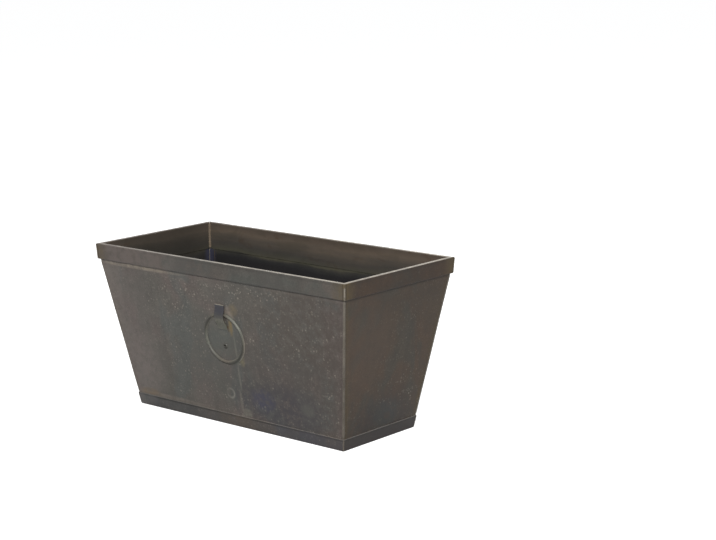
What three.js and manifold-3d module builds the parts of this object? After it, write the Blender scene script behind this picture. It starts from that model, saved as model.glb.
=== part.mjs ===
// A trough planter of folded sheet metal in the Versailles style: four leaning walls standing in a
// shallow tray, a folded rim capping mitred at the corners, and a ring under a strap on each long wall.
// Millimetres, +Z up. The origin is on the ground under the middle, and the front wall faces -Y.
import * as THREE from 'three';
import { mergeVertices } from 'three/addons/utils/BufferGeometryUtils.js';
import Module from 'manifold-3d';

const wasm = await Module();
wasm.setup();

// ---- driving dimensions ----
const length = 593; // over the rim, along X
const width = 290; // over the rim, along Y
const height = 300; // ground to the rim's flat top
const wallLean = THREE.MathUtils.degToRad(9.8); // all four walls, from upright
const sheet = 1.2; // thickness of the walls, the rim and the tray
const seam = 0.3; // gap left between neighbouring pieces for the solder
const bendRadius = 2; // outside radius of a fold
const bendSteps = 4; // flats that stand for the arc of a fold
const dressedRadius = 0.9; // the long walls' upright outer edges, filed round

const bandHeight = 28.5; // outer leg of the rim
const bandLean = THREE.MathUtils.degToRad(3.8); // outer leg of the rim, from upright
const bandProud = 3.8; // how far the foot of the outer leg stands out from the wall
const rimTopWidth = 10; // flat top of the rim
const innerLegHeight = 50; // inner leg of the rim, down to where it meets the wall

const flangeWidth = 14; // strip folded in at each side of an end wall, behind the long wall
const skirtHeight = 21; // upturned side of the tray, seen as the band round the foot
const drainHoleDiameter = 12;
const drainHoleCount = 5;
const drainHoleSteps = 24;

const ringCentreHeight = 163; // above the ground
const ringRadius = 44.5; // to the ridge of the ring's bead
const beadWidth = 8;
const beadHeight = 2.4;
const ringSteps = 64;
const beadSteps = 8;

const strapWidth = 21;
const strapAbove = 18.5; // from the ridge of the ring up to the strap's end
const strapBelow = 26.5; // and down to its other end
const strapSheet = 1.4;
const strapBend = 6; // radius of the strap's easy bends, on its back
const strapSeat = 3.5; // length that lies flat on the wall at each end
const strapSlack = 3.1; // how far its bow stands clear of the ring
const strapCrest = 3; // length of the highest part of its bow
const strapCrestDrop = 5; // from the ridge of the ring down to the middle of that part

const rivetHeight = 149.5; // above the ground, near the middle of the wall
const rivetHeadDiameter = 10;
const rivetHeadHeight = 1.8;
const rivetShankDiameter = 6.5;
const rivetBore = 4.6;
const rivetTailDiameter = 9.5; // rolled over inside the wall
const rivetTailHeight = 1.5;
const rivetSteps = 28;

// ---- what follows from them ----
const leanSheet = sheet / Math.cos(wallLean); // level thickness of a leaning wall
const leanSeam = seam / Math.cos(wallLean);
const bandFootInset = bandHeight * Math.tan(bandLean);
const wallTopInset = bandFootInset + bandProud - bandHeight * Math.tan(wallLean);

// How far the walls' outer face lies inside the rim's outer edge, at a height above the ground.
function wallInset(level) {
  return wallTopInset + (height - level) * Math.tan(wallLean);
}

// ---- ways of making ----

// A closed geometry as a solid that can be cut and joined, and back again.
function toSolid(geometry) {
  const bare = geometry.clone();
  bare.deleteAttribute('normal');
  bare.deleteAttribute('uv');
  const merged = mergeVertices(bare, 1e-4);
  return new wasm.Manifold(new wasm.Mesh({
    numProp: 3,
    vertProperties: new Float32Array(merged.attributes.position.array),
    triVerts: new Uint32Array(merged.index.array),
  }));
}

function toGeometry(solid) {
  const mesh = solid.getMesh();
  const geometry = new THREE.BufferGeometry();
  geometry.setAttribute('position', new THREE.BufferAttribute(mesh.vertProperties, 3));
  geometry.setIndex(new THREE.BufferAttribute(mesh.triVerts, 1));
  const faceted = geometry.toNonIndexed();
  faceted.computeVertexNormals();
  return faceted;
}

// An open line of points with each inner corner turned into an arc.
function roundCorners(points, radius, steps) {
  const line = [points[0]];
  for (let i = 1; i < points.length - 1; i += 1) {
    const corner = points[i];
    const back = points[i - 1].clone().sub(corner).normalize();
    const onward = points[i + 1].clone().sub(corner).normalize();
    const halfAngle = Math.acos(back.dot(onward)) / 2;
    const centre = back.clone().add(onward).normalize()
      .multiplyScalar(radius / Math.sin(halfAngle)).add(corner);
    const start = back.multiplyScalar(radius / Math.tan(halfAngle)).add(corner).sub(centre);
    const end = onward.multiplyScalar(radius / Math.tan(halfAngle)).add(corner).sub(centre);
    const turn = Math.atan2(start.cross(end), start.dot(end));
    for (let step = 0; step <= steps; step += 1) {
      line.push(start.clone().rotateAround(new THREE.Vector2(), turn * step / steps).add(centre));
    }
  }
  line.push(points.at(-1));
  return line;
}

// The outline of a folded sheet: along a line, and back one thickness to the left of it.
function foldedOutline(line, thickness) {
  const leftOf = (from, to) => to.clone().sub(from).normalize()
    .rotateAround(new THREE.Vector2(), Math.PI / 2);
  const back = line.map((point, i) => {
    const before = leftOf(line[Math.max(i - 1, 0)], line[Math.max(i, 1)]);
    const after = leftOf(line[Math.min(i, line.length - 2)], line[Math.min(i + 1, line.length - 1)]);
    const reach = thickness / (1 + before.dot(after));
    return before.add(after).multiplyScalar(reach).add(point);
  });
  return new THREE.Shape([...line, ...back.reverse()]);
}

// A piece as long as one side of the planter, its section given as inset from the rim's outer edge
// and height, and its ends cut to meet its neighbours at 45 degrees.
function mitredLength(section, halfLength, halfAcross) {
  const geometry = new THREE.ExtrudeGeometry(section, { depth: 1, steps: 1, bevelEnabled: false });
  const place = geometry.attributes.position;
  const mitreGap = seam * Math.SQRT1_2;
  for (let i = 0; i < place.count; i += 1) {
    const inset = place.getX(i);
    const level = place.getY(i);
    const end = place.getZ(i) * 2 - 1;
    place.setXYZ(i, end * (halfLength - inset - mitreGap), inset - halfAcross, level);
  }
  return geometry;
}

// A plan drawn at the height of the rim's top, carried down between two levels and drawn in from
// every side at the walls' lean.
function leaningWall(plan, low, high) {
  const geometry = new THREE.ExtrudeGeometry(plan, {
    depth: high - low, steps: 1, bevelEnabled: false,
  });
  geometry.translate(0, 0, low);
  const place = geometry.attributes.position;
  for (let i = 0; i < place.count; i += 1) {
    const drawnIn = (height - place.getZ(i)) * Math.tan(wallLean);
    place.setX(i, place.getX(i) - Math.sign(place.getX(i)) * drawnIn);
    place.setY(i, place.getY(i) - Math.sign(place.getY(i)) * drawnIn);
  }
  return geometry;
}

// A level rectangle round the middle, by its half sides, with its corners turned into arcs.
function roundedRectangle(halfX, halfY, cornerRadius) {
  const line = [
    new THREE.Vector2(0, -halfY), new THREE.Vector2(halfX, -halfY), new THREE.Vector2(halfX, halfY),
    new THREE.Vector2(-halfX, halfY), new THREE.Vector2(-halfX, -halfY), new THREE.Vector2(0, -halfY),
  ];
  return new THREE.Shape(roundCorners(line, cornerRadius, bendSteps).slice(1));
}

// A round pin on the Z axis between two heights.
function pin(diameter, low, high, steps) {
  const geometry = new THREE.CylinderGeometry(diameter / 2, diameter / 2, high - low, steps);
  return geometry.rotateX(Math.PI / 2).translate(0, 0, (low + high) / 2);
}

function addPiece(group, name, geometry, colour, roughness, metalness) {
  const material = new THREE.MeshStandardMaterial({ color: colour, roughness, metalness });
  const mesh = new THREE.Mesh(geometry, material);
  mesh.name = name;
  group.add(mesh);
  return mesh;
}

// Turns a group so that what it holds, drawn flat in XY and facing +Z, lies on the outer face of the
// front wall with its origin at a height above the ground and +Y up the slope of the wall.
function ontoFrontWall(group, level) {
  group.position.set(0, wallInset(level) - width / 2, level);
  group.rotation.set(Math.PI / 2 + wallLean, 0, 0);
}

const planter = new THREE.Group();

// ---- tray: one sheet, its four sides turned up round the feet of the walls ----
const skirtInset = wallTopInset - leanSeam - leanSheet;
const trayHalfX = length / 2 - skirtInset;
const trayHalfY = width / 2 - skirtInset;
const trayInnerRadius = dressedRadius + leanSeam;
const trayOuter = leaningWall(
  roundedRectangle(trayHalfX, trayHalfY, trayInnerRadius + leanSheet), 0, skirtHeight);
const trayHollow = leaningWall(
  roundedRectangle(trayHalfX - leanSheet, trayHalfY - leanSheet, trayInnerRadius),
  sheet, skirtHeight + sheet);
let tray = toSolid(trayOuter).subtract(toSolid(trayHollow));
const floorLength = length - 2 * wallInset(0);
for (let hole = 0; hole < drainHoleCount; hole += 1) {
  const alongFloor = ((hole + 0.5) / drainHoleCount - 0.5) * floorLength;
  const drill = pin(drainHoleDiameter, -sheet, 2 * sheet, drainHoleSteps).translate(alongFloor, 0, 0);
  tray = tray.subtract(toSolid(drill));
}
addPiece(planter, 'base_tray', toGeometry(tray), 0x4b4743, 0.6, 0.6);

// ---- walls: they stand on the tray's floor and end inside the rim, where their outer face comes
// up against the back of the band ----
const wallFoot = sheet + seam;
const bandBackInset = (sheet + seam) / Math.cos(bandLean);
const wallStopsShort = (bandBackInset - wallTopInset) / (Math.tan(wallLean) - Math.tan(bandLean));
const wallTop = height - Math.max(sheet + seam, wallStopsShort);
const innerLegFoot = height - innerLegHeight;
const wallHalfX = length / 2 - wallTopInset;
const wallHalfY = width / 2 - wallTopInset;

// A long wall is one flat sheet, as wide as the planter, with filed edges and a hole for the rivet.
const longLine = [
  new THREE.Vector2(-wallHalfX, leanSheet - wallHalfY), new THREE.Vector2(-wallHalfX, -wallHalfY),
  new THREE.Vector2(wallHalfX, -wallHalfY), new THREE.Vector2(wallHalfX, leanSheet - wallHalfY),
];
const longPlan = new THREE.Shape(roundCorners(longLine, dressedRadius, bendSteps));
const rivetDrill = new THREE.Group();
ontoFrontWall(rivetDrill, rivetHeight);
rivetDrill.updateMatrix();
const rivetHole = pin(rivetShankDiameter + 2 * seam, -2 * sheet, sheet, rivetSteps)
  .applyMatrix4(rivetDrill.matrix);
const longWall = toGeometry(
  toSolid(leaningWall(longPlan, wallFoot, wallTop)).subtract(toSolid(rivetHole)));
addPiece(planter, 'front_panel', longWall, 0x66625c, 0.55, 0.6);
addPiece(planter, 'back_panel', longWall.clone().rotateZ(Math.PI), 0x66625c, 0.55, 0.6);

// An end wall fits between the long walls, and a strip folded in at each side lies behind them, up
// to the foot of the rim's inner leg.
const flangeFace = wallHalfY - leanSheet - leanSeam;
const endLine = [
  new THREE.Vector2(wallHalfX - flangeWidth, -flangeFace), new THREE.Vector2(wallHalfX, -flangeFace),
  new THREE.Vector2(wallHalfX, flangeFace), new THREE.Vector2(wallHalfX - flangeWidth, flangeFace),
];
const endPlan = foldedOutline(roundCorners(endLine, bendRadius, bendSteps), leanSheet);
const flangeNotch = leaningWall(
  roundedRectangle(wallHalfX - leanSheet - seam / 2, wallHalfY, dressedRadius),
  innerLegFoot - seam, height);
const endWall = toGeometry(
  toSolid(leaningWall(endPlan, wallFoot, wallTop)).subtract(toSolid(flangeNotch)));
addPiece(planter, 'right_end_panel', endWall, 0x5b534c, 0.55, 0.6);
addPiece(planter, 'left_end_panel', endWall.clone().rotateZ(Math.PI), 0x5b534c, 0.55, 0.6);

// ---- rim: a sheet folded over the top of the walls, as two long and two short mitred lengths ----
// The section runs from the return under the band, out and up the band, over the flat top, and down
// the inner leg, which closes on the inside of the wall.
const rimLine = [
  new THREE.Vector2(wallInset(height - bandHeight) - leanSeam, height - bandHeight),
  new THREE.Vector2(bandFootInset, height - bandHeight),
  new THREE.Vector2(0, height),
  new THREE.Vector2(rimTopWidth, height),
  new THREE.Vector2(wallInset(innerLegFoot) + leanSheet + leanSeam + sheet, innerLegFoot),
];
const rimSection = foldedOutline(roundCorners(rimLine, bendRadius, bendSteps).reverse(), sheet);
const longRim = mitredLength(rimSection, length / 2, width / 2);
const shortRim = mitredLength(rimSection, width / 2, length / 2);
addPiece(planter, 'front_rim', longRim, 0x5c5853, 0.5, 0.65);
addPiece(planter, 'right_rim', shortRim.clone().rotateZ(Math.PI / 2), 0x5c5853, 0.5, 0.65);
addPiece(planter, 'back_rim', longRim.clone().rotateZ(Math.PI), 0x5c5853, 0.5, 0.65);
addPiece(planter, 'left_rim', shortRim.clone().rotateZ(-Math.PI / 2), 0x5c5853, 0.5, 0.65);

// ---- ring, strap and rivet: the same set on the front and on the back ----

// The ring is a bead with a flat back, turned round its own axis.
const beadSection = [];
for (let step = 0; step <= beadSteps; step += 1) {
  const turn = Math.PI * step / beadSteps;
  beadSection.push(new THREE.Vector2(
    ringRadius + beadWidth / 2 * Math.cos(turn), beadHeight * Math.sin(turn)));
}
beadSection.push(beadSection[0].clone());
const ring = new THREE.LatheGeometry(beadSection, ringSteps).rotateX(Math.PI / 2);

// The strap lies on the wall at both ends and bows out between them, clear over the ring's bead.
const strapRise = beadHeight + strapSlack;
const strapCrestMiddle = ringRadius - strapCrestDrop;
const strapLine = [
  new THREE.Vector2(0, ringRadius + strapAbove),
  new THREE.Vector2(0, ringRadius + strapAbove - strapSeat),
  new THREE.Vector2(strapRise, strapCrestMiddle + strapCrest / 2),
  new THREE.Vector2(strapRise, strapCrestMiddle - strapCrest / 2),
  new THREE.Vector2(0, ringRadius - strapBelow + strapSeat),
  new THREE.Vector2(0, ringRadius - strapBelow),
];
const strapSection = foldedOutline(roundCorners(strapLine, strapBend, bendSteps), strapSheet);
const strap = new THREE.ExtrudeGeometry(strapSection, { depth: strapWidth, steps: 1, bevelEnabled: false });
strap.translate(0, 0, -strapWidth / 2).rotateY(-Math.PI / 2);

// The rivet is hollow, with a domed head outside and its tail rolled over inside the wall.
const rivetSection = [
  new THREE.Vector2(rivetBore / 2, -sheet - 2 * seam - rivetTailHeight),
  new THREE.Vector2(rivetTailDiameter / 2 - rivetTailHeight / 2, -sheet - 2 * seam - rivetTailHeight),
  new THREE.Vector2(rivetTailDiameter / 2, -sheet - 2 * seam),
  new THREE.Vector2(rivetShankDiameter / 2, -sheet - 2 * seam),
  new THREE.Vector2(rivetShankDiameter / 2, 0),
  new THREE.Vector2(rivetHeadDiameter / 2, 0),
  new THREE.Vector2(rivetHeadDiameter / 2 - rivetHeadHeight / 2, rivetHeadHeight * 0.7),
  new THREE.Vector2(rivetBore / 2 + rivetHeadHeight / 3, rivetHeadHeight),
  new THREE.Vector2(rivetBore / 2, rivetHeadHeight * 0.7),
  new THREE.Vector2(rivetBore / 2, -sheet - 2 * seam - rivetTailHeight),
];
const rivet = new THREE.LatheGeometry(rivetSection, rivetSteps).rotateX(Math.PI / 2);

for (const [sideName, turn] of [['front', 0], ['back', Math.PI]]) {
  const side = new THREE.Group();
  side.rotation.z = turn;
  planter.add(side);

  const ringPlace = new THREE.Group();
  ontoFrontWall(ringPlace, ringCentreHeight);
  side.add(ringPlace);
  const ringMesh = addPiece(ringPlace, `${sideName}_ring`, ring, 0x75726b, 0.45, 0.7);
  ringMesh.position.z = seam;
  const strapMesh = addPiece(ringPlace, `${sideName}_ring_strap`, strap, 0x55555a, 0.5, 0.7);
  strapMesh.position.z = seam;

  const rivetPlace = new THREE.Group();
  ontoFrontWall(rivetPlace, rivetHeight);
  side.add(rivetPlace);
  const rivetMesh = addPiece(rivetPlace, `${sideName}_rivet`, rivet, 0x6b6862, 0.45, 0.7);
  rivetMesh.position.z = seam;
}

export default planter;
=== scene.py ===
"""A trough planter of patinated sheet metal: its finishes, solder seams, ring, strap and studio.

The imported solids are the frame, in metres, +Z up, with the front wall facing -Y. This script gives
every sheet its finish, adds the soldered corners, and works the ring and its strap up in full.
"""
import math

import bpy
import numpy as np
from mathutils import Matrix, Vector


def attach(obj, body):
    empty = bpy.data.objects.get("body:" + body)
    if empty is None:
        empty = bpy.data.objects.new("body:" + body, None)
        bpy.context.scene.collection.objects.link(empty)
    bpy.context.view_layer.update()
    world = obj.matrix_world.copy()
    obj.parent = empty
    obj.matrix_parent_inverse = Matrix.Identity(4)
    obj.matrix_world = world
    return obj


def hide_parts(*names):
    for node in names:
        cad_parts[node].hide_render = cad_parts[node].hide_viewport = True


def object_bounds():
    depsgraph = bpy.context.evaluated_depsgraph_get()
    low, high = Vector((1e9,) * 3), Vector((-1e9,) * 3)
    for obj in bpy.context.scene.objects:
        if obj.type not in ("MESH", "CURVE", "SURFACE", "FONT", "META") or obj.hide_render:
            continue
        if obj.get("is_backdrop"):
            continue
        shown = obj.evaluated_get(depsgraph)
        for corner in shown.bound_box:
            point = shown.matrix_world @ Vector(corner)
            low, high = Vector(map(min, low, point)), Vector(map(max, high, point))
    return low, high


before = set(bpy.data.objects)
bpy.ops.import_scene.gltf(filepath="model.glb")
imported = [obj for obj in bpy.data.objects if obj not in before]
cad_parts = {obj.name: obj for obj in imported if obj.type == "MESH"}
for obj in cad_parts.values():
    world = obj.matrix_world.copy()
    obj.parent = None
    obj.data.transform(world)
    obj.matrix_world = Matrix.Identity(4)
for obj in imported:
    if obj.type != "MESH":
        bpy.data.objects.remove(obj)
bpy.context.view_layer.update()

# ---- Camera ----
# A long lens looks down a little on the front wall and the right end, from beyond the front right
# corner.
camera_place = (2.1801, -2.3163, 0.9045)
camera_turn, camera_tip, camera_roll = (math.radians(angle) for angle in (40.51, 11.43, -0.62))
camera_data = bpy.data.cameras.new("camera")
camera_data.lens = 92.5
camera_data.sensor_width = 36
camera_data.clip_end = 100  # metres, well past the floor that is in view
camera = bpy.data.objects.new("camera", camera_data)
bpy.context.scene.collection.objects.link(camera)
camera.matrix_world = (
    Matrix.Translation(camera_place)
    @ Matrix.Rotation(camera_turn, 4, "Z")
    @ Matrix.Rotation(math.pi / 2 - camera_tip, 4, "X")
    @ Matrix.Rotation(camera_roll, 4, "Z")
)
bpy.context.scene.camera = camera
bpy.context.scene.view_settings.view_transform = "Standard"

# ---- Studio ----
# A pale floor under a white surround, with one strong soft light high on the front right, a weaker
# one opposite it that adds no gloss, and a faint wide one overhead. The camera sees all round it
# white.


def node(tree, kind, **settings):
    """A new node of a kind, with its properties set."""
    made = tree.nodes.new(kind)
    for name, value in settings.items():
        setattr(made, name, value)
    return made


def feed(tree, socket, value):
    """Links a socket to another, or sets its plain value."""
    if isinstance(value, bpy.types.NodeSocket):
        tree.links.new(value, socket)
    else:
        socket.default_value = value


def calc(tree, operation, *values):
    """One step of arithmetic on sockets or numbers."""
    made = node(tree, "ShaderNodeMath", operation=operation)
    for socket, value in zip(made.inputs, values):
        feed(tree, socket, value)
    return made.outputs[0]


def seen_strength(tree, by_camera, by_gloss):
    """One strength for camera rays, another for glossy and transmission rays, 0 for the rest."""
    rays = node(tree, "ShaderNodeLightPath")
    gloss = calc(tree, "MAXIMUM", rays.outputs["Is Glossy Ray"], rays.outputs["Is Transmission Ray"])
    return calc(tree, "MAXIMUM", calc(tree, "MULTIPLY", rays.outputs["Is Camera Ray"], by_camera),
                calc(tree, "MULTIPLY", gloss, by_gloss))


world = bpy.data.worlds.new("studio surround")
bpy.context.scene.world = world
world.use_nodes = True
surround = world.node_tree
surround.nodes.clear()
soft_fill = node(surround, "ShaderNodeBackground")
soft_fill.inputs["Color"].default_value = (0.94, 0.97, 1.0, 1)
soft_fill.inputs["Strength"].default_value = 0.188
white_beyond = node(surround, "ShaderNodeBackground")
white_beyond.inputs["Color"].default_value = (1, 1, 1, 1)
choose = node(surround, "ShaderNodeMixShader")
feed(surround, choose.inputs[0], seen_strength(surround, 1.0, 0.55))
feed(surround, choose.inputs[1], soft_fill.outputs[0])
feed(surround, choose.inputs[2], white_beyond.outputs[0])
feed(surround, node(surround, "ShaderNodeOutputWorld").inputs[0], choose.outputs[0])

floor_reach, floor_level = 30.0, -0.0002
floor_mesh = bpy.data.meshes.new("studio_floor")
floor_mesh.from_pydata(
    [(x * floor_reach, y * floor_reach, floor_level) for x, y in ((-1, -1), (1, -1), (1, 1), (-1, 1))],
    [], [(0, 1, 2, 3)])
floor = bpy.data.objects.new("studio_floor", floor_mesh)
bpy.context.scene.collection.objects.link(floor)
floor_finish = bpy.data.materials.new("pale floor")
floor_finish.use_nodes = True
floor_tree = floor_finish.node_tree
floor_tree.nodes.clear()
floor_paint = node(floor_tree, "ShaderNodeBsdfDiffuse")
floor_paint.inputs["Color"].default_value = (0.4, 0.4, 0.4, 1)
floor_lift = node(floor_tree, "ShaderNodeEmission")
feed(floor_tree, floor_lift.inputs["Strength"], seen_strength(floor_tree, 0.92, 0.25))
floor_sum = node(floor_tree, "ShaderNodeAddShader")
feed(floor_tree, floor_sum.inputs[0], floor_paint.outputs[0])
feed(floor_tree, floor_sum.inputs[1], floor_lift.outputs[0])
feed(floor_tree, node(floor_tree, "ShaderNodeOutputMaterial").inputs[0], floor_sum.outputs[0])
floor_mesh.materials.append(floor_finish)
floor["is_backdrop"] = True

lamp_target = Vector((0, 0, 0.15))
for lamp_name, lamp_place, lamp_size, lamp_watts, lamp_tint, lamp_gloss in (
        ("front_right_softbox", (1.95, -2.50, 2.05), 0.9, 165, (1.0, 0.985, 0.97), True),
        ("back_left_softbox", (-1.95, 2.50, 2.05), 1.4, 85, (1.0, 0.985, 0.97), False),
        ("overhead_softbox", (0.0, 0.5, 2.8), 2.2, 20, (1.0, 1.0, 1.0), True)):
    lamp = bpy.data.lights.new(lamp_name, "AREA")
    lamp.size = lamp_size
    lamp.energy = lamp_watts
    lamp.color = lamp_tint
    lamp_object = bpy.data.objects.new(lamp_name, lamp)
    bpy.context.scene.collection.objects.link(lamp_object)
    lamp_object.visible_glossy = lamp_gloss
    lamp_object.location = lamp_place
    lamp_aim = lamp_target - Vector(lamp_place)
    lamp_object.rotation_euler = lamp_aim.to_track_quat("-Z", "Y").to_euler()

# ---- Walls ----
# Four leaning sheets with an aged patina: grey-brown, clouded warmer and cooler, run in faint
# upright streaks and finely speckled with pale grains. Inside, below the rim, they are coated black.
rim_length, rim_width, rim_height = 0.593, 0.290, 0.300
wall_lean = math.radians(9.8)
wall_top_inset = 0.00078
wall_foot = 0.0215  # where the walls come out of the tray
inner_leg_foot = rim_height - 0.050  # where the rim's inner leg ends on the walls' inner faces
coating_top = rim_height - 0.0535


def wall_inset(level):
    """How far the walls' outer face lies inside the rim's outer edge, at a height."""
    return wall_top_inset + (rim_height - level) * math.tan(wall_lean)


def srgb(red, green, blue):
    """A colour from 0 to 255 as Blender's linear values."""
    steps = np.array((red, green, blue)) / 255
    linear = np.where(steps <= 0.04045, steps / 12.92, ((steps + 0.055) / 1.055) ** 2.4)
    return (*linear, 1)


def slide(tree, value, low, high, bottom=0.0, top=1.0):
    """Carries a value smoothly from bottom to top as it goes from low to high."""
    made = node(tree, "ShaderNodeMapRange", interpolation_type="SMOOTHSTEP")
    for socket, number in zip(made.inputs, (value, low, high, bottom, top)):
        feed(tree, socket, number)
    return made.outputs[0]


def tint(tree, factor, under, over, how="MIX"):
    """Lays one colour over another by a factor."""
    made = node(tree, "ShaderNodeMix", data_type="RGBA", blend_type=how)
    feed(tree, made.inputs[0], factor)
    feed(tree, made.inputs[6], under)
    feed(tree, made.inputs[7], over)
    return made.outputs[2]


def clouds(tree, place, scale, detail=2.0, roughness=0.5, distortion=0.0):
    """Soft noise between 0 and 1 on a place."""
    made = node(tree, "ShaderNodeTexNoise")
    feed(tree, made.inputs["Vector"], place)
    made.inputs["Scale"].default_value = scale
    made.inputs["Detail"].default_value = detail
    made.inputs["Roughness"].default_value = roughness
    made.inputs["Distortion"].default_value = distortion
    return made.outputs["Fac"]


def stretched(tree, place, across, upright):
    """A place scaled one way across and another way upright."""
    made = node(tree, "ShaderNodeVectorMath", operation="MULTIPLY")
    feed(tree, made.inputs[0], place)
    made.inputs[1].default_value = (across, across, upright)
    return made.outputs[0]


def grains(tree, place, scale, size, share):
    """Small round grains of uneven size, in a share of the cells of a random pattern."""
    cells = node(tree, "ShaderNodeTexVoronoi")
    feed(tree, cells.inputs["Vector"], place)
    cells.inputs["Scale"].default_value = scale
    lot = node(tree, "ShaderNodeSeparateColor")
    feed(tree, lot.inputs[0], cells.outputs["Color"])
    reach = calc(tree, "MULTIPLY", size, calc(tree, "ADD", 0.5, lot.outputs[1]))
    near = slide(tree, calc(tree, "SUBTRACT", reach, cells.outputs["Distance"]), 0.0, 0.10)
    return calc(tree, "MULTIPLY", near, calc(tree, "LESS_THAN", lot.outputs[0], share))


def colour_steps(tree, value, steps):
    """A colour that passes through steps, each given as a value and a colour."""
    made = node(tree, "ShaderNodeValToRGB")
    feed(tree, made.inputs[0], value)
    band = made.color_ramp
    while len(band.elements) < len(steps):
        band.elements.new(0.5)
    for element, (position, colour) in zip(band.elements, steps):
        element.position = position
        element.color = srgb(*colour)
    return made.outputs[0]


def new_group(name, inputs, outputs):
    """An empty node group with named sockets: its tree, its inputs and its outputs."""
    tree = bpy.data.node_groups.new(name, "ShaderNodeTree")
    for side, sockets in (("INPUT", inputs), ("OUTPUT", outputs)):
        for socket_name, kind in sockets.items():
            tree.interface.new_socket(name=socket_name, in_out=side, socket_type="NodeSocket" + kind)
    return tree, node(tree, "NodeGroupInput").outputs, node(tree, "NodeGroupOutput").inputs


# Where a point lies on the planter: 1 on faces that look inwards, 1 at the two ends, how far it is
# from the nearest upright corner, its height, and 1 on faces that look up. A sheet's plane is given
# by its inset at the top and its lean.
whereabouts, given, found = new_group(
    "Place on planter", {"Top inset": "Float", "Lean": "Float"},
    {"Inside": "Float", "End": "Float", "Corner": "Float", "Level": "Float", "Upward": "Float"})
coordinates = node(whereabouts, "ShaderNodeTexCoord")
point = node(whereabouts, "ShaderNodeSeparateXYZ")
feed(whereabouts, point.inputs[0], coordinates.outputs["Object"])
normal = node(whereabouts, "ShaderNodeSeparateXYZ")
feed(whereabouts, normal.inputs[0], coordinates.outputs["Normal"])
below_top = calc(whereabouts, "SUBTRACT", rim_height, point.outputs[2])
inset_here = calc(whereabouts, "MULTIPLY_ADD", below_top, given["Lean"], given["Top inset"])
from_end, from_side = (
    calc(whereabouts, "SUBTRACT", calc(whereabouts, "SUBTRACT", half, inset_here),
         calc(whereabouts, "ABSOLUTE", point.outputs[axis]))
    for axis, half in ((0, rim_length / 2), (1, rim_width / 2)))
nearer_end = calc(whereabouts, "LESS_THAN", from_end, from_side)
outward_end, outward_side = (
    calc(whereabouts, "MULTIPLY", calc(whereabouts, "SIGN", point.outputs[axis]), normal.outputs[axis])
    for axis in (0, 1))
outward = calc(whereabouts, "ADD", calc(whereabouts, "MULTIPLY", outward_end, nearer_end), calc(
    whereabouts, "MULTIPLY", outward_side, calc(whereabouts, "SUBTRACT", 1.0, nearer_end)))
feed(whereabouts, found["Inside"], calc(whereabouts, "LESS_THAN", outward, -0.5))
feed(whereabouts, found["End"], nearer_end)
feed(whereabouts, found["Corner"], calc(whereabouts, "MAXIMUM", from_end, from_side))
feed(whereabouts, found["Level"], point.outputs[2])
feed(whereabouts, found["Upward"], slide(whereabouts, normal.outputs[2], 0.94, 0.998))

# The patina: a ground colour clouded towards a warm and a cool one, streaks, pale grains, dark pits,
# and a tint from the heat of soldering near the corners. It turns pale where its input for wear and
# highlight is 1, for rubbed metal and for painted highlights, and dark where its input for dirt and
# shade is 1, for dirt and for painted shade.
patina, given, made_of = new_group(
    "Patina",
    {"Ground": "Color", "Warm": "Color", "Cool": "Color", "Heat": "Color", "Corner": "Float",
     "Grains": "Float", "Wear and highlight": "Float", "Dirt and shade": "Float"},
    {"Color": "Color", "Roughness": "Float", "Height": "Float"})
on_planter = node(patina, "ShaderNodeTexCoord").outputs["Object"]
broad = clouds(patina, on_planter, 7.0, 3.0, 0.55, 0.4)
drift = clouds(patina, stretched(patina, on_planter, 14.0, 9.0), 1.0, 2.0, 0.5, 0.8)
mist = clouds(patina, on_planter, 34.0, 6.0, 0.72)
streak = clouds(patina, stretched(patina, on_planter, 60.0, 4.0), 1.0, 3.0, 0.6)
tooth = clouds(patina, on_planter, 420.0, 3.0, 0.7)
strewn = calc(patina, "MULTIPLY", given["Grains"], slide(
    patina, clouds(patina, on_planter, 16.0, 3.0, 0.6), 0.34, 0.62, 0.35, 1.0))
pale_grain = calc(patina, "MAXIMUM", grains(patina, on_planter, 150.0, 0.23, 0.45), calc(
    patina, "MULTIPLY", grains(patina, on_planter, 250.0, 0.33, 0.42), 0.55))
pale_grain = calc(patina, "MULTIPLY", pale_grain, strewn)
pit = calc(patina, "MULTIPLY", grains(patina, on_planter, 190.0, 0.30, 0.30), strewn)
ground = tint(patina, slide(patina, broad, 0.42, 0.60, 0.0, 0.9), given["Ground"], given["Warm"])
ground = tint(patina, slide(patina, drift, 0.50, 0.66, 0.0, 0.9), ground, given["Cool"])
heat = calc(patina, "MULTIPLY", slide(patina, given["Corner"], 0.003, 0.018, 0.9, 0.0),
            slide(patina, drift, 0.35, 0.60, 0.35, 1.0))
ground = tint(patina, heat, ground, given["Heat"])
shade = calc(patina, "MULTIPLY", slide(patina, mist, 0.25, 0.75, 0.82, 1.18),
             slide(patina, streak, 0.25, 0.75, 0.94, 1.06))
shade = calc(patina, "MULTIPLY", shade, slide(patina, tooth, 0.2, 0.8, 0.80, 1.20))
shade = calc(patina, "MULTIPLY", shade, calc(patina, "MULTIPLY_ADD", pit, -0.22, 1.0))
shade_grey = node(patina, "ShaderNodeCombineColor")
for channel in shade_grey.inputs:
    feed(patina, channel, shade)
coloured = tint(patina, 1.0, ground, shade_grey.outputs[0], "MULTIPLY")
coloured = tint(patina, calc(patina, "MULTIPLY", pale_grain, 0.82), coloured, srgb(142, 137, 126))
# Paler for rubbed metal and for painted highlights.
pale_wear_and_highlight = calc(patina, "MULTIPLY", given["Wear and highlight"], slide(patina, mist, 0.30, 0.62, 0.60, 1.0))
coloured = tint(patina, pale_wear_and_highlight, coloured, srgb(158, 151, 140))
# Darker for dirt and for painted shade.
coloured = tint(patina, calc(patina, "MULTIPLY", given["Dirt and shade"], 0.75), coloured, srgb(30, 27, 25))
feed(patina, made_of["Color"], coloured)
rough = calc(patina, "MULTIPLY_ADD", pale_grain, 0.2, slide(patina, mist, 0.2, 0.8, 0.42, 0.56))
feed(patina, made_of["Roughness"], calc(patina, "MULTIPLY_ADD", pale_wear_and_highlight, -0.10, rough))
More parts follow.
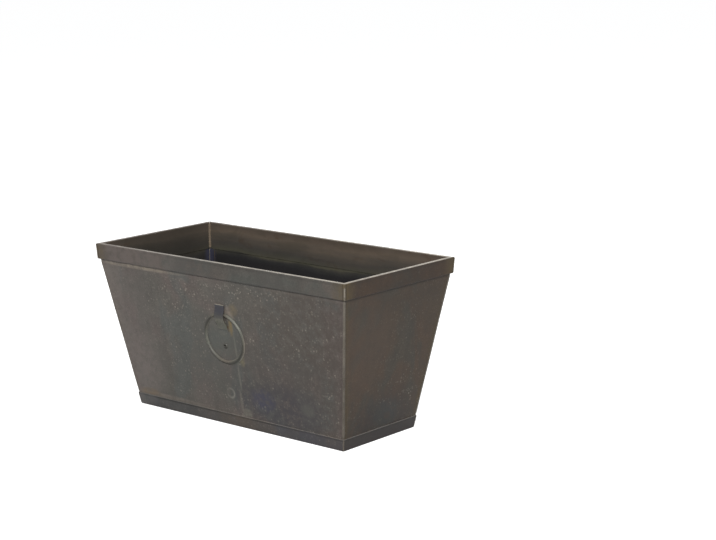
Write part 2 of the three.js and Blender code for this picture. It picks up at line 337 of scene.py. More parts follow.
relief = calc(patina, "MULTIPLY_ADD", mist, 0.45, calc(patina, "MULTIPLY", tooth, 0.22))
relief = calc(patina, "MULTIPLY_ADD", pale_grain, 0.30, relief)
feed(patina, made_of["Height"], calc(patina, "MULTIPLY_ADD", pit, -0.35, relief))

# The inside: browner at the top and darker with depth, in level streaks and patches, then an olive
# tide line and a black coating brushed on up to a wavy edge, with a blue stain under each corner's
# solder. The ends are duller away from the corners.
lining, given, made_of = new_group(
    "Inside of planter", {"Color": "Color", "Inside": "Float", "End": "Float", "Corner": "Float"},
    {"Color": "Color"})
on_planter = node(lining, "ShaderNodeTexCoord").outputs["Object"]
point = node(lining, "ShaderNodeSeparateXYZ")
feed(lining, point.inputs[0], on_planter)
level_streak = clouds(lining, stretched(lining, on_planter, 7.0, 75.0), 1.0, 4.0, 0.6)
wave = clouds(lining, stretched(lining, on_planter, 9.0, 3.0), 1.0, 3.0, 0.55)
patch = clouds(lining, stretched(lining, on_planter, 16.0, 30.0), 1.0, 4.0, 0.65, 0.6)
above = calc(lining, "SUBTRACT", point.outputs[2], coating_top)
above = calc(lining, "MULTIPLY_ADD", calc(lining, "SUBTRACT", wave, 0.48), 0.020, above)
above = calc(lining, "MULTIPLY_ADD", calc(lining, "SUBTRACT", level_streak, 0.5), 0.012, above)
inner_colour = colour_steps(
    lining, calc(lining, "MULTIPLY_ADD", above, 12.5, 0.25),
    ((0.0, (10, 9, 10)), (0.13, (15, 14, 17)), (0.20, (29, 29, 29)), (0.25, (44, 43, 39)),
     (0.29, (64, 63, 52)), (0.36, (59, 57, 50)), (0.46, (56, 53, 49)), (0.60, (70, 64, 57)),
     (0.76, (83, 74, 65)), (0.90, (73, 64, 56))))
inner_colour = tint(lining, slide(lining, patch, 0.46, 0.62, 0.0, 0.5), inner_colour, tint(
    lining, 1.0, inner_colour, srgb(224, 226, 218), "MULTIPLY"))
inner_colour = tint(lining, slide(lining, patch, 0.44, 0.30, 0.0, 0.6), inner_colour, tint(
    lining, 1.0, inner_colour, srgb(228, 206, 184), "MULTIPLY"))
inner_colour = tint(lining, 1.0, inner_colour, colour_steps(
    lining, level_streak, ((0.3, (232, 232, 232)), (0.7, (255, 250, 244)))), "MULTIPLY")
dull = calc(lining, "MULTIPLY", given["End"], slide(lining, given["Corner"], 0.0, 0.075, 0.25, 0.8))
dull = calc(lining, "MULTIPLY", dull, slide(
    lining, point.outputs[2], rim_height - 0.030, rim_height - 0.004, 1.0, 0.55))
inner_colour = tint(lining, dull, inner_colour, srgb(33, 30, 24))
stain = calc(lining, "MULTIPLY", slide(lining, given["Corner"], 0.006, 0.020, 0.85, 0.0), calc(
    lining, "MULTIPLY", slide(lining, point.outputs[2], inner_leg_foot - 0.035, inner_leg_foot - 0.015),
    slide(lining, point.outputs[2], inner_leg_foot - 0.001, inner_leg_foot + 0.003, 1.0, 0.0)))
inner_colour = tint(lining, stain, inner_colour, srgb(38, 39, 56))
feed(lining, made_of["Color"], tint(lining, given["Inside"], given["Color"], inner_colour))


def sheet_material(name, top_inset, lean, colours, grain_share, marks):
    """A patinated sheet: the patina by its place on the planter, with the piece's own marks. The
    colours are the ground, the warm and the cool one, and the heat tint. Faces that look inwards are
    rougher."""
    material = bpy.data.materials.new(name)
    material.use_nodes = True
    tree = material.node_tree
    tree.nodes.clear()
    place = node(tree, "ShaderNodeGroup", node_tree=whereabouts)
    place.inputs["Top inset"].default_value = top_inset
    place.inputs["Lean"].default_value = lean
    finish = node(tree, "ShaderNodeGroup", node_tree=patina)
    for socket_name, colour in zip(("Ground", "Warm", "Cool", "Heat"), colours):
        finish.inputs[socket_name].default_value = srgb(*colour)
    finish.inputs["Grains"].default_value = grain_share
    feed(tree, finish.inputs["Corner"], place.outputs["Corner"])
    metal = node(tree, "ShaderNodeBsdfPrincipled")
    metal.inputs["Specular IOR Level"].default_value = 0.4
    feed(tree, metal.inputs["Base Color"], marks(tree, place.outputs, finish))
    feed(tree, metal.inputs["Roughness"], calc(
        tree, "MULTIPLY_ADD", place.outputs["Inside"], 0.45, finish.outputs["Roughness"]))
    bump = node(tree, "ShaderNodeBump")
    bump.inputs["Strength"].default_value = 0.35
    bump.inputs["Distance"].default_value = 0.0006
    feed(tree, bump.inputs["Height"], finish.outputs["Height"])
    feed(tree, metal.inputs["Normal"], bump.outputs[0])
    feed(tree, node(tree, "ShaderNodeOutputMaterial").inputs[0], metal.outputs[0])
    return material


def give_finish(node_name, finish):
    """Puts a finish on one of the solids in place of its plain one."""
    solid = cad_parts[node_name].data
    solid.materials.clear()
    solid.materials.append(finish)


def object_place(tree):
    """The Object coordinates and, apart, their three parts."""
    coords = node(tree, "ShaderNodeTexCoord").outputs["Object"]
    parts = node(tree, "ShaderNodeSeparateXYZ")
    feed(tree, parts.inputs[0], coords)
    return coords, parts.outputs


def lined(tree, place, colour):
    """A colour outside, and the lining on the faces that look inwards."""
    inside = node(tree, "ShaderNodeGroup", node_tree=lining)
    feed(tree, inside.inputs["Color"], colour)
    for found_name in ("Inside", "End", "Corner"):
        feed(tree, inside.inputs[found_name], place[found_name])
    return inside.outputs["Color"]


solder_line = 0.0055


def foot_highlight_and_solder_dirt(tree, place, finish):
    """A painted highlight along the foot, and a line of dirt along the corners' solder, at solder_line
    from the corner."""
    # A painted highlight along the foot, above the tray.
    feed(tree, finish.inputs["Wear and highlight"], slide(
        tree, place["Level"], wall_foot, wall_foot + 0.003, 0.15, 0.0))
    off_line = calc(tree, "ABSOLUTE", calc(tree, "SUBTRACT", place["Corner"], solder_line))
    feed(tree, finish.inputs["Dirt and shade"], slide(tree, off_line, 0.0005, 0.0025, 0.14, 0.0))
    return finish.outputs["Color"]


def spotted(tree, colour, across, upright, broken, spots):
    """Soft oval spots laid over a colour, each given by its middle, reach, strength and colour."""
    for middle, reach, strength, over in spots:
        out = calc(tree, "DIVIDE", calc(tree, "SUBTRACT", across, middle[0]), reach[0])
        up = calc(tree, "DIVIDE", calc(tree, "SUBTRACT", upright, middle[1]), reach[1])
        away = calc(tree, "MULTIPLY_ADD", out, out, calc(tree, "MULTIPLY", up, up))
        spot = calc(tree, "MULTIPLY", slide(tree, away, 0.0, 1.0, strength, 0.0), broken)
        colour = tint(tree, spot, colour, srgb(*over))
    return colour


def plain_wall(tree, place, finish):
    """A wall with no marks of its own."""
    return lined(tree, place, foot_highlight_and_solder_dirt(tree, place, finish))


scuff_middle, scuff_radius = (-0.005, 0.061), 0.0085


def front_wall(tree, place, finish):
    """The front wall's own marks: soft spots given across and upright, and a round scuff near the
    foot that is stronger on its right."""
    coords, parts = object_place(tree)
    feed(tree, finish.inputs["Grains"], slide(tree, parts[0], -0.15, 0.12, 0.45, 1.0))
    broken = slide(tree, clouds(tree, coords, 90.0, 4.0, 0.65), 0.32, 0.62, 0.35, 1.0)
    colour = spotted(tree, foot_highlight_and_solder_dirt(tree, place, finish), parts[0], parts[2], broken, (
        # paler at the left, with thin pale lines just under the rim and along the foot that are painted
        # highlight
        ((-0.310, 0.150), (0.170, 0.320), 0.50, (98, 91, 88)),
        ((-0.295, 0.200), (0.060, 0.200), 0.45, (112, 105, 99)),
        ((-0.200, 0.2670), (0.140, 0.0048), 0.80, (130, 121, 108)),
        ((0.200, 0.2670), (0.130, 0.0040), 0.30, (112, 104, 96)),
        ((-0.235, 0.075), (0.075, 0.085), 0.60, (104, 96, 92)),
        ((-0.190, 0.0250), (0.150, 0.0050), 0.85, (106, 99, 92)),
        # cool grey-green left of the ring and below it
        ((-0.060, 0.085), (0.100, 0.060), 0.45, (68, 69, 66)),
        ((-0.060, 0.150), (0.075, 0.080), 0.40, (72, 74, 71)),
        ((0.025, 0.095), (0.045, 0.040), 0.55, (68, 70, 67)),
        # darker on the right and damp towards the foot, with a blue bloom
        ((0.320, 0.170), (0.340, 0.320), 0.80, (64, 57, 52)),
        ((0.110, 0.105), (0.170, 0.070), 0.50, (66, 63, 61)),
        ((0.110, 0.050), (0.135, 0.062), 0.75, (54, 52, 57)),
        ((0.072, 0.060), (0.036, 0.026), 0.55, (56, 57, 76)),
        # dulled inside the ring and above the strap
        ((0.000, 0.160), (0.050, 0.050), 0.70, (74, 76, 71)),
        ((0.024, 0.150), (0.022, 0.038), 0.50, (66, 66, 62)),
        ((0.000, 0.243), (0.034, 0.018), 0.35, (66, 63, 60)),
        # rusty by the foot on the left
        ((-0.215, 0.027), (0.034, 0.010), 0.50, (100, 84, 62)),
        # pale, amber and dark brown beside the strap and under it
        ((0.019, 0.210), (0.012, 0.017), 0.75, (122, 112, 102)),
        ((0.031, 0.219), (0.013, 0.014), 0.75, (104, 93, 72)),
        ((0.026, 0.201), (0.010, 0.007), 0.60, (122, 112, 100)),
        ((0.0190, 0.186), (0.0060, 0.021), 0.85, (110, 94, 60)),
        ((0.0125, 0.184), (0.0030, 0.011), 0.85, (68, 52, 26)),
        ((-0.004, 0.172), (0.0120, 0.0060), 0.30, (100, 98, 86)),
        # a pale run from beside the strap down to the foot
        ((0.0235, 0.145), (0.0030, 0.050), 0.45, (104, 104, 94)),
        ((0.0225, 0.092), (0.0034, 0.032), 0.50, (108, 106, 98)),
        ((0.0185, 0.045), (0.0038, 0.034), 0.50, (110, 108, 98)),
        # small pale patches by the ring and by the foot
        ((0.0345, 0.128), (0.0090, 0.0150), 0.60, (108, 101, 76)),
        ((0.175, 0.060), (0.020, 0.016), 0.35, (90, 91, 82)),
        ((0.030, 0.030), (0.014, 0.010), 0.55, (112, 112, 100))))
    scuff_x = calc(tree, "SUBTRACT", parts[0], scuff_middle[0])
    scuff_z = calc(tree, "SUBTRACT", parts[2], scuff_middle[1])
    away = calc(tree, "SQRT", calc(
        tree, "MULTIPLY_ADD", scuff_x, scuff_x, calc(tree, "MULTIPLY", scuff_z, scuff_z)))
    off_ring = calc(tree, "ABSOLUTE", calc(tree, "SUBTRACT", away, scuff_radius))
    scuff = calc(tree, "MULTIPLY", slide(tree, off_ring, 0.0, 0.0034, 0.75, 0.0), calc(
        tree, "MULTIPLY", broken, slide(tree, scuff_x, -0.008, 0.004, 0.35, 1.0)))
    return lined(tree, place, tint(tree, scuff, colour, srgb(120, 118, 110)))


def end_wall(tree, place, finish):
    """An end wall's own marks: darker and cooler towards the foot with a damp blue-green patch,
    browner under the rim and warmer towards the front."""
    coords, parts = object_place(tree)
    feed(tree, finish.inputs["Grains"], calc(
        tree, "MULTIPLY", slide(tree, place["Level"], 0.06, 0.12, 0.8, 0.25),
        slide(tree, parts[1], -0.06, 0.0, 0.3, 1.0)))
    broken = slide(tree, clouds(tree, coords, 70.0, 4.0, 0.65), 0.32, 0.62, 0.45, 1.0)
    colour = spotted(tree, foot_highlight_and_solder_dirt(tree, place, finish), parts[1], parts[2], broken, (
        ((0.0, 0.020), (0.110, 0.085), 0.75, (44, 41, 42)),
        ((0.0, 0.268), (0.220, 0.055), 0.40, (52, 45, 38)),
        ((0.015, 0.045), (0.045, 0.034), 0.50, (50, 56, 56)),
        ((-0.055, 0.175), (0.075, 0.090), 0.35, (76, 62, 52))))
    return lined(tree, place, colour)


wall_plane = (wall_top_inset, math.tan(wall_lean))
front_finish = sheet_material(
    "front wall patina", *wall_plane,
    ((80, 77, 72), (85, 77, 73), (76, 77, 74), (84, 74, 71)), 1.0, front_wall)
back_finish = sheet_material(
    "back wall patina", *wall_plane,
    ((79, 76, 71), (84, 76, 71), (74, 75, 71), (82, 72, 66)), 0.8, plain_wall)
# The ends' colours are browner than the front's, and also darker as painted shade.
shaded_end_finish = sheet_material(
    "end wall patina and shade", *wall_plane,
    ((64, 54, 44), (67, 54, 43), (59, 55, 48), (72, 61, 42)), 0.2, end_wall)
give_finish("front_panel", front_finish)
give_finish("back_panel", back_finish)
give_finish("left_end_panel", shaded_end_finish)
give_finish("right_end_panel", shaded_end_finish)

# ---- Rim ----
# The folded capping in four mitred lengths. Its flat top and its outer corners are rubbed bright by
# handling, the corners also carrying a painted highlight, and its band is smoother than the walls and
# stained olive by solder near the corners.
band_lean = math.radians(3.8)
band_foot = rim_height - 0.0285
band_solder_line = 0.0042  # how far from the corner the dark line beside the solder runs


def rim_length_marks(tree, place, finish):
    """Bright wear over the flat top, bright wear and a painted highlight down the band's corners,
    darker just under the fold, olive stains by the corners with a dark line beside the solder, and a
    warm, paler stretch and two cooler ones."""
    coords, parts = object_place(tree)
    # Down the band's corners: rubbed bright, with a painted highlight.
    corner_wear_and_highlight = calc(tree, "MULTIPLY", slide(tree, place["Corner"], 0.0002, 0.0025, 0.6, 0.0),
                       slide(tree, place["Level"], band_foot - 0.0015, rim_height - 0.004, 0.25, 1.0))
    feed(tree, finish.inputs["Wear and highlight"], calc(tree, "MAXIMUM", place["Upward"], corner_wear_and_highlight))
    off_top = calc(tree, "SUBTRACT", 1.0, place["Upward"])
    feed(tree, finish.inputs["Dirt and shade"], calc(tree, "MULTIPLY", off_top, slide(
        tree, place["Level"], rim_height - 0.0075, rim_height - 0.0030, 0.0, 0.35)))
    uneven = slide(tree, clouds(tree, coords, 60.0, 3.0, 0.6), 0.35, 0.60, 0.4, 1.0)
    colour = spotted(tree, finish.outputs["Color"], parts[0], parts[2], uneven, (
        ((-0.310, 0.285), (0.290, 0.100), 0.85, (92, 84, 80)),
        ((-0.045, 0.285), (0.055, 0.100), 0.60, (60, 62, 60)),
        ((0.125, 0.285), (0.050, 0.100), 0.45, (62, 61, 58))))
    stain = calc(tree, "MULTIPLY", slide(tree, place["Corner"], 0.006, 0.034, 0.75, 0.0), uneven)
    stain = calc(tree, "MULTIPLY", stain, off_top)
    beside = calc(tree, "ABSOLUTE", calc(tree, "SUBTRACT", place["Corner"], band_solder_line))
    beside = calc(tree, "MULTIPLY", slide(tree, beside, 0.0005, 0.0022, 0.6, 0.0), off_top)
    colour = tint(tree, beside, tint(tree, stain, colour, srgb(80, 68, 44)), srgb(48, 40, 28))
    return lined(tree, place, colour)


rim_plane = (0.0, math.tan(band_lean))
long_rim_finish = sheet_material(
    "long rim patina", *rim_plane,
    ((69, 67, 63), (74, 68, 63), (66, 67, 63), (78, 70, 62)), 0.1, rim_length_marks)
# The end lengths are browner than the long ones, and also darker as painted shade.
shaded_short_rim_finish = sheet_material(
    "short rim patina and shade", *rim_plane,
    ((55, 44, 35), (58, 45, 34), (52, 46, 39), (67, 57, 36)), 0.1, rim_length_marks)
give_finish("front_rim", long_rim_finish)
give_finish("back_rim", long_rim_finish)
give_finish("left_rim", shaded_short_rim_finish)
give_finish("right_rim", shaded_short_rim_finish)

# ---- Tray ----
# The foot: one sheet whose upturned sides stand round the walls. Their top edge is turned over into a
# thin rolled hem, and the band below it is a little cooler and dirtier than the walls, with a painted
# shadow along its top under the hem.
skirt_proud, skirt_height = 0.0015, 0.021
hem_radius, hem_corner = 0.0009, 0.0024
hem_seat = 0.0006  # how far inside the band's face the hem's middle lies
hem_drop = 0.0002  # and how far below the band's top


def piece_from_grid(name, grid, closed_ends, wear=None):
    """A mesh from a grid of points, rows by columns by XYZ, whose columns wrap round. Its first and
    last row are closed with a face each, or else its rows wrap too. Marks for wear and for painted
    light are kept as its wear attribute."""
    rows, columns = grid.shape[:2]
    index = np.arange(rows * columns).reshape(rows, columns)
    beside = np.roll(index, -1, axis=1)
    after, after_beside = np.roll(index, -1, axis=0), np.roll(beside, -1, axis=0)
    faces = np.stack([index, beside, after_beside, after], axis=-1)
    if closed_ends:
        faces = faces[:-1].reshape(-1, 4).tolist() + [index[0, ::-1].tolist(), index[-1].tolist()]
    else:
        faces = faces.reshape(-1, 4).tolist()
    mesh = bpy.data.meshes.new(name)
    mesh.from_pydata(grid.reshape(-1, 3).tolist(), [], faces)
    if wear is not None:
        spread = np.ascontiguousarray(np.broadcast_to(wear, grid.shape[:2]), dtype=np.float32)
        mesh.attributes.new("wear", "FLOAT", "POINT").data.foreach_set("value", spread.ravel())
    mesh.shade_smooth()
    mesh.set_sharp_from_angle(angle=math.radians(40))
    made = bpy.data.objects.new(name, mesh)
    bpy.context.scene.collection.objects.link(made)
    return made


floor_top = 0.005  # level faces below this are the tray's floor


def tray_marks(tree, place, finish):
    """Bright corners, dirt towards the ground, a painted shadow under the hem, ends browner and darker
    with painted shade, black inside, and the long bands paler at the left, browner in the middle and
    cooler at the right."""
    feed(tree, finish.inputs["Wear and highlight"], slide(tree, place["Corner"], 0.0002, 0.0030, 0.12, 0.0))
    low_dirt = slide(tree, place["Level"], 0.0, 0.008, 0.45, 0.0)
    # Dirt towards the ground, and a painted shadow just under the hem.
    feed(tree, finish.inputs["Dirt and shade"], calc(tree, "MAXIMUM", low_dirt, slide(
        tree, place["Level"], skirt_height - 0.0045, skirt_height - 0.0020, 0.0, 1.0)))
    coords, parts = object_place(tree)
    uneven = slide(tree, clouds(tree, coords, 60.0, 3.0, 0.6), 0.35, 0.60, 0.4, 1.0)
    mottled = spotted(tree, finish.outputs["Color"], parts[0], parts[2], uneven, (
        ((-0.245, 0.010), (0.060, 0.050), 0.60, (88, 86, 84)),
        ((0.000, 0.010), (0.060, 0.050), 0.50, (78, 68, 58)),
        ((0.185, 0.010), (0.120, 0.050), 0.60, (60, 57, 62))))
    # The ends browner, and darker as painted shade.
    browner = tint(tree, calc(tree, "MULTIPLY", place["End"], 0.65), mottled, srgb(44, 39, 35))
    on_floor = calc(
        tree, "MULTIPLY", place["Upward"], calc(tree, "LESS_THAN", place["Level"], floor_top))
    return tint(tree, calc(tree, "MAXIMUM", on_floor, place["Inside"]), browner, srgb(19, 18, 20))


tray_plane = (wall_top_inset - skirt_proud, math.tan(wall_lean))
tray_colours = (67, 66, 65), (70, 65, 62), (63, 64, 67), (64, 60, 60)
tray_finish = sheet_material("tray patina", *tray_plane, tray_colours, 0.35, tray_marks)
give_finish("base_tray", tray_finish)


def rolled_hem(name):
    """A round wire carried round a rectangle with rounded corners: each point of the path is a point of
    a small circle moved out to one of the rectangle's corners. The wire is rubbed pale along its top,
    which also paints a highlight there."""
    corner_steps, wire_steps = 24, 16
    inset = wall_inset(skirt_height) - skirt_proud + hem_seat + hem_corner
    quarter = np.repeat(np.arange(4), corner_steps)
    sign_x, sign_y = np.array([1, -1, -1, 1])[quarter], np.array([1, 1, -1, -1])[quarter]
    around = (quarter + np.tile(np.linspace(0, 1, corner_steps), 4)) * math.pi / 2
    outward = np.stack([np.cos(around), np.sin(around)], axis=1)
    path = np.stack([sign_x * (rim_length / 2 - inset), sign_y * (rim_width / 2 - inset)], axis=1)
    path = path + hem_corner * outward
    over = np.linspace(0, 2 * math.pi, wire_steps, endpoint=False)[None, :]
    x, y = (path[:, [axis]] + outward[:, [axis]] * hem_radius * np.cos(over) for axis in (0, 1))
    level = skirt_height - hem_drop + hem_radius * np.sin(over)
    grid = np.stack([x, y, np.broadcast_to(level, x.shape)], axis=-1)
    # Rubbed pale along the top, with a painted highlight.
    wear = 0.3 * np.clip(np.sin(over + 0.3), 0, 1)
    return piece_from_grid(name, grid, False, wear)


def wear_and_light_by_attribute(tree, place, finish):
    """Pale where the piece's own wear attribute is above nothing, for rubbed metal and painted
    highlights, and dark where it is below nothing, for painted shadow.
    """
    wear_and_light_here = node(tree, "ShaderNodeAttribute", attribute_name="wear").outputs["Fac"]
    feed(tree, finish.inputs["Wear and highlight"], calc(tree, "MAXIMUM", wear_and_light_here, 0.0))
    feed(tree, finish.inputs["Dirt and shade"], slide(tree, wear_and_light_here, -0.5, 0.0, 0.8, 0.0))
    return finish.outputs["Color"]


hem = rolled_hem("tray_hem")
hem.data.materials.append(
    sheet_material("hem patina", *tray_plane, tray_colours, 0.2, wear_and_light_by_attribute))
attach(hem, "root")

# ---- Corner seams ----
# A round bead of solder runs up each corner of the walls from the tray to the rim, dressed smooth.
# Thinner ones close the corners of the rim's band and of the tray, and one fills each corner inside.
rim_top_width, inner_leg_slope = 0.0100, 0.0423


def band_inset(level):
    """How far the rim's band lies inside the rim's outer edge, at a height."""
    return (rim_height - level) * math.tan(band_lean)


def skirt_inset(level):
    """How far the tray's band lies inside the rim's outer edge, at a height."""
    return wall_inset(level) - skirt_proud


def inner_leg_inset(level):
    """How far the rim's inner leg lies inside the rim's outer edge, at a height."""
    return rim_top_width + (rim_height - level) * inner_leg_slope


def corner_bead(name, side_x, side_y, low, high, line_inset, radius, sunk):
    """A rounded bead up one corner: a circle in plan, its centre sunk inside the corner, carried up
    the corner's line, rippled a little by two fine waves and drawn in at both ends."""
    up = np.linspace(0, 1, 60)[:, None]
    level = low + (high - low) * up
    ease = np.clip(np.minimum(up, 1 - up) / 0.02, 0, 1) ** 0.5
    ripple = 1 + 0.05 * np.sin(level * 610 + side_x) + 0.04 * np.sin(level * 1430 + 2 * side_y)
    turn = np.linspace(0, 2 * math.pi, 24, endpoint=False)[None, :]
    reach = radius * (0.6 + 0.4 * ease) * ripple
    x = side_x * (rim_length / 2 - line_inset(level) - sunk) + reach * np.cos(turn)
    y = side_y * (rim_width / 2 - line_inset(level) - sunk) + reach * np.sin(turn)
    grid = np.stack([x, y, np.broadcast_to(level, x.shape)], axis=-1)
    return piece_from_grid(name, grid, True)


def inner_solder(tree, place, finish):
    """Solder, dulled like the sheets and brighter in places."""
    feed(tree, finish.inputs["Wear and highlight"], slide(
        tree, clouds(tree, object_place(tree)[0], 40.0, 3.0, 0.6), 0.3, 0.7, 0.0, 0.12))
    return finish.outputs["Color"]


def outer_solder(tree, place, finish):
    """The same solder, coated black with the walls where it comes through inside."""
    return lined(tree, place, inner_solder(tree, place, finish))


def rubbed_solder(tree, place, finish):
    """The solder at the rim's corners, rubbed bright like the top of the rim."""
    feed(tree, finish.inputs["Wear and highlight"], slide(
        tree, place["Level"], rim_height - 0.025, rim_height - 0.014, 0.2, 0.5))
    return lined(tree, place, finish.outputs["Color"])


solder_colours = (76, 72, 66), (79, 72, 64), (73, 71, 65), (80, 75, 67)
inner_solder_colours = (92, 82, 70), (98, 84, 68), (86, 80, 70), (96, 82, 66)
outer_finish = sheet_material("dressed solder", *wall_plane, solder_colours, 0.3, outer_solder)
rim_solder_finish = sheet_material("rubbed solder", *rim_plane, solder_colours, 0.1, rubbed_solder)
inner_finish = sheet_material("brown solder", *wall_plane, inner_solder_colours, 0.1, inner_solder)
for side_x, side_y, corner_name in (
        (1, -1, "front_right"), (-1, -1, "front_left"), (1, 1, "back_right"), (-1, 1, "back_left")):
    for seam_name, low, high, line_inset, radius, sunk, solder in (
            ("wall_seam", 0.0212, 0.2712, wall_inset, 0.0022, 0.0014, outer_finish),
            ("rim_seam", 0.2722, 0.2930, band_inset, 0.0013, 0.0011, rim_solder_finish),
            ("tray_seam", 0.0006, 0.0200, skirt_inset, 0.0012, 0.0010, outer_finish),
            ("inner_seam", 0.2515, 0.2980, inner_leg_inset, 0.0027, 0.0004, inner_finish)):
        bead = corner_bead(
            f"{corner_name}_{seam_name}", side_x, side_y, low, high, line_inset, radius, sunk)
        bead.data.materials.append(solder)
        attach(bead, "root")

# ---- Ring ----
# A cast ring of low, rounded section soldered flat on each long wall, worked a little uneven by hand
# and coloured with the wall, with painted highlights on the slopes that face the light and painted
# shadows on those that face away.
ring_height, ring_radius = 0.163, 0.0445
ring_half_width, ring_rise = 0.0042, 0.0026
ring_edge = 0.0002  # thickness left at the ring's edges
ring_waver = 0.0003  # how far the ring strays from a true circle
solder_gap = 0.0003


def on_long_wall(across, up_slope, off_wall, level, facing):
    """Points given across, up the slope of and off the front or back wall, from a height on it."""
    sine, cosine = math.sin(wall_lean), math.cos(wall_lean)
    y = wall_inset(level) - rim_width / 2 - up_slope * sine - off_wall * cosine
    z = level + up_slope * cosine - off_wall * sine
    return np.stack([facing * across, facing * y, z], axis=-1)


# Painted highlights and painted shadows on the ring, set by where the light falls: the angle round it
# clockwise from the top and its spread, the place across it and its width as shares of the half width,
# and the strength, less than 0 for painted shadow.
ring_highlights_and_shadows = (
    (45, 24, 0.3, 0.5, 0.25), (125, 45, 0.9, 0.35, 0.35), (165, 25, -0.7, 0.4, 0.15),
    (270, 25, -0.6, 0.4, 0.15), (85, 22, -0.5, 0.35, -0.9), (130, 40, 0.0, 0.35, -1.0),
    (190, 30, 0.7, 0.3, -0.6), (240, 45, 1.0, 0.35, -0.7), (225, 30, -0.2, 0.6, -0.2),
    (308, 20, -0.1, 0.45, -1.0))


def rounded_ring(name, facing):
    """A ring whose section is a low wave on a flat back, carried round a circle: its height is the
    square of a cosine across it. It swells and strays from the circle a little, by slow waves. Its
    painted highlights and painted shadows are bell curves round it and across it, kept in its wear
    attribute."""
    front_steps, back_steps = 25, 9
    around = np.linspace(0, 2 * math.pi, 180, endpoint=False)[:, None]
    across = np.concatenate([np.linspace(-1, 1, front_steps), np.linspace(0.98, -0.98, back_steps)])
    front = np.concatenate([np.ones(front_steps), np.zeros(back_steps)])
    swell = 1 + 0.05 * np.sin(3 * around + 0.7) + 0.03 * np.sin(7 * around + facing)
    radius = ring_radius + ring_waver * np.sin(2 * around + 0.4) + ring_half_width * swell * across
    off = solder_gap + front * (ring_edge + ring_rise * swell * np.cos(across * math.pi / 2) ** 2)
    grid = on_long_wall(radius * np.sin(around), radius * np.cos(around), off, ring_height, facing)
    # Painted highlights and shadows, by where the light falls on the ring's slopes.
    angle, spread, middle, width, strength = np.array(ring_highlights_and_shadows).T[:, :, None, None]
    turned = (np.degrees(around) - angle + 180) % 360 - 180
    marks = strength * np.exp(-(turned / spread) ** 2 - ((across - middle) / width) ** 2)
    return piece_from_grid(name, grid[:, ::-1], False, (front * marks.sum(axis=0))[:, ::-1])


ring_colours = (80, 79, 72), (84, 77, 69), (73, 76, 69), (80, 76, 66)
ring_finish = sheet_material("cast ring patina", *wall_plane, ring_colours, 0.15, wear_and_light_by_attribute)
for side_name, facing in (("front", 1), ("back", -1)):
    ring = rounded_ring(f"{side_name}_cast_ring", facing)
    ring.data.materials.append(ring_finish)
    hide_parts(f"{side_name}_ring")
    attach(ring, "root")

# ---- Strap ----
# A flat strap, soldered to the wall at both ends, that bows out clear over the ring's bead. Its upper
# part is a dark blue-grey, its top edge is rubbed bright and carries a painted highlight, and the lower
# side of the bow is painted paler against its shade.
strap_half_width, strap_thick, strap_corner = 0.0105, 0.0014, 0.0004
strap_top, strap_foot, strap_seat = ring_radius + 0.0185, ring_radius - 0.0265, 0.0035
crest_high, crest_low, strap_bow = ring_radius - 0.0035, ring_radius - 0.0065, 0.0055


def flat_strap(name, facing):
    """A rectangle with rounded edges carried down the wall. Its height off the wall climbs by a
    smooth step from the upper seat to the crest of the bow, and falls by another to the lower one."""
    up_slope = np.linspace(strap_top, strap_foot, 90)[:, None]
    climb = np.clip((strap_top - strap_seat - up_slope) / (strap_top - strap_seat - crest_high), 0, 1)
    fall = np.clip((up_slope - strap_foot - strap_seat) / (crest_low - strap_foot - strap_seat), 0, 1)
    rise = strap_bow * climb ** 2 * (3 - 2 * climb) * fall ** 2 * (3 - 2 * fall)
    slope = np.gradient(rise[:, 0], up_slope[:, 0])[:, None]
    length = np.sqrt(1 + slope ** 2)
    turn = np.linspace(0, 2 * math.pi, 32, endpoint=False)[None, :]
    across = np.sign(np.cos(turn)) * (strap_half_width - strap_corner) + strap_corner * np.cos(turn)
    depth = (strap_thick / 2 + np.sign(np.sin(turn)) * (strap_thick / 2 - strap_corner)
             + strap_corner * np.sin(turn))
    off = solder_gap + rise + depth / length
    up = up_slope - depth * slope / length
    grid = on_long_wall(np.broadcast_to(across, off.shape), up, off, ring_height, facing)
    # The top edge is rubbed pale and carries a painted highlight; the foot and the sides are rubbed
    # pale.
    top_edge = np.exp(-(strap_top - up_slope) / 0.0013)
    foot_edge = np.exp(-(up_slope - strap_foot) / 0.0006)
    wear = 0.8 * top_edge + 0.3 * foot_edge + 0.1 * np.abs(np.cos(turn)) ** 12
    return piece_from_grid(name, grid, True, wear)


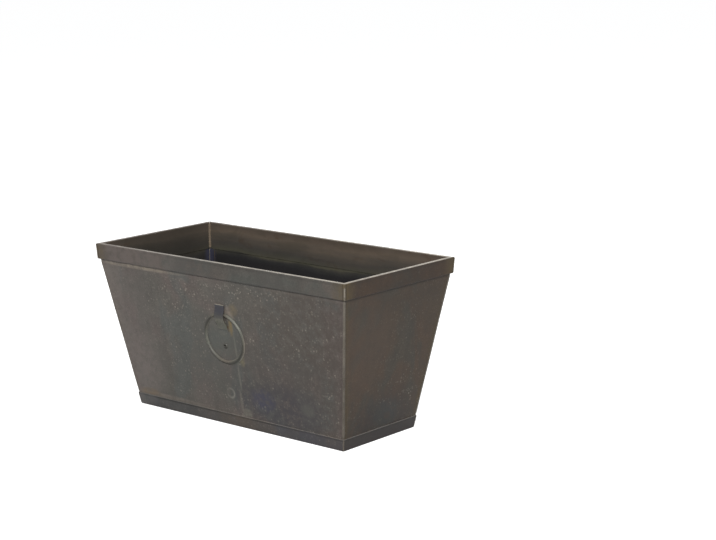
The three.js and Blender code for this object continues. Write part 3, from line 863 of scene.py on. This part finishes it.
def strap_marks(tree, place, finish):
    """The strap's wear and painted highlight, a lower part painted paler where the bow turns down into
    shade, and the dark blue-grey that fades out down its length.
    """
    # Painted paler low on the bow, where it faces down into shade.
    paler = calc(tree, "MULTIPLY", slide(tree, place["Level"], 0.183, 0.189, 0.1, 0.45),
                 slide(tree, place["Level"], 0.195, 0.203, 1.0, 0.0))
    colour = tint(tree, paler, wear_and_light_by_attribute(tree, place, finish), srgb(112, 112, 100))
    wear_and_light_here = node(tree, "ShaderNodeAttribute", attribute_name="wear").outputs["Fac"]
    dark = calc(tree, "MULTIPLY", slide(tree, place["Level"], 0.194, 0.214, 0.0, 0.9),
                slide(tree, wear_and_light_here, 0.2, 0.5, 1.0, 0.0))
    return tint(tree, dark, colour, srgb(48, 48, 55))


strap_colours = (75, 75, 68), (77, 74, 66), (72, 75, 68), (76, 73, 64)
strap_finish = sheet_material("strap patina", *wall_plane, strap_colours, 0.15, strap_marks)
for side_name, facing in (("front", 1), ("back", -1)):
    strap = flat_strap(f"{side_name}_strap", facing)
    strap.data.materials.append(strap_finish)
    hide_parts(f"{side_name}_ring_strap")
    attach(strap, "root")

# ---- Rivet ----
# A hollow rivet in the middle of each long wall, set through the sheet and rolled over inside. Its head
# has dulled with the wall, its bore is dark, and the head's left side carries painted shade.
rivet_height, rivet_bore_radius = 0.1493, 0.0023


def rivet_marks(tree, place, finish):
    """Darker: strongly round the bore, with painted shade down the head's left side, away from the
    light, and a little over the rest.
    """
    across = object_place(tree)[1][0]
    upright = calc(tree, "SUBTRACT", place["Level"], rivet_height)
    upright = calc(tree, "DIVIDE", upright, math.cos(wall_lean))
    away = calc(tree, "SQRT", calc(
        tree, "MULTIPLY_ADD", across, across, calc(tree, "MULTIPLY", upright, upright)))
    # Darker round the bore, and painted shade down the head's left side.
    feed(tree, finish.inputs["Dirt and shade"], calc(
        tree, "MAXIMUM", slide(tree, away, rivet_bore_radius, rivet_bore_radius + 0.0022, 0.75, 0.1),
        slide(tree, across, -0.0042, -0.0024, 0.5, 0.0)))
    return finish.outputs["Color"]


rivet_colours = (70, 69, 64), (73, 68, 62), (66, 68, 63), (70, 68, 60)
rivet_finish = sheet_material("rivet patina", *wall_plane, rivet_colours, 0.1, rivet_marks)
give_finish("front_rivet", rivet_finish)
give_finish("back_rivet", rivet_finish)

# ---- Size and end ----
# The box of the finished model is found.
low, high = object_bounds()
